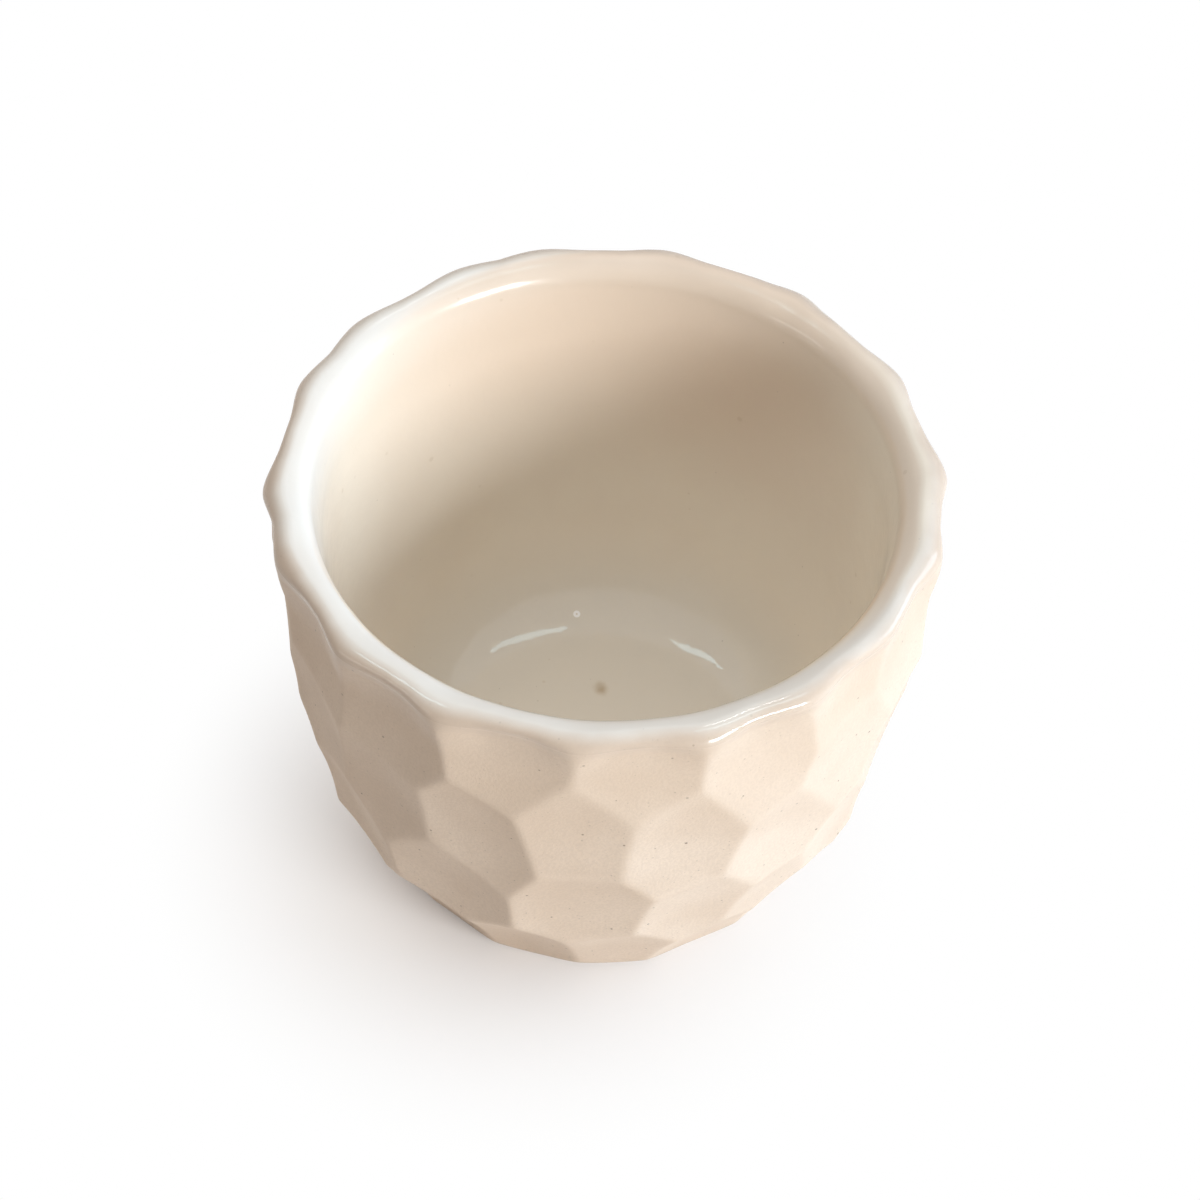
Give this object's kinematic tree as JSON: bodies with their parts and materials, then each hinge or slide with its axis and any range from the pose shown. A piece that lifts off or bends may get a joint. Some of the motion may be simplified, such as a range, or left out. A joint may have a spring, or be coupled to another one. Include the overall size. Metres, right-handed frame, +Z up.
{
  "type": "latte cup",
  "caption": "Handleless stoneware latte cup, its bare outside carved all over with overlapping shallow scoops, with a glossy cream glaze inside and over the scalloped lip.",
  "frame": {"origin": "on the cup's axis, at the surface that it stands on", "axes": "+Z up along the cup's axis; -Y towards the pictured side"},
  "size_m": [0.0929, 0.0922, 0.07],
  "materials": {
    "stoneware": "bare, matt, fine grained, with small iron specks",
    "cream_glaze": "glossy cream white"
  },
  "bodies": {
    "root": {"clay_body": "stoneware", "liner_glaze": "cream_glaze"}
  },
  "joints": []
}
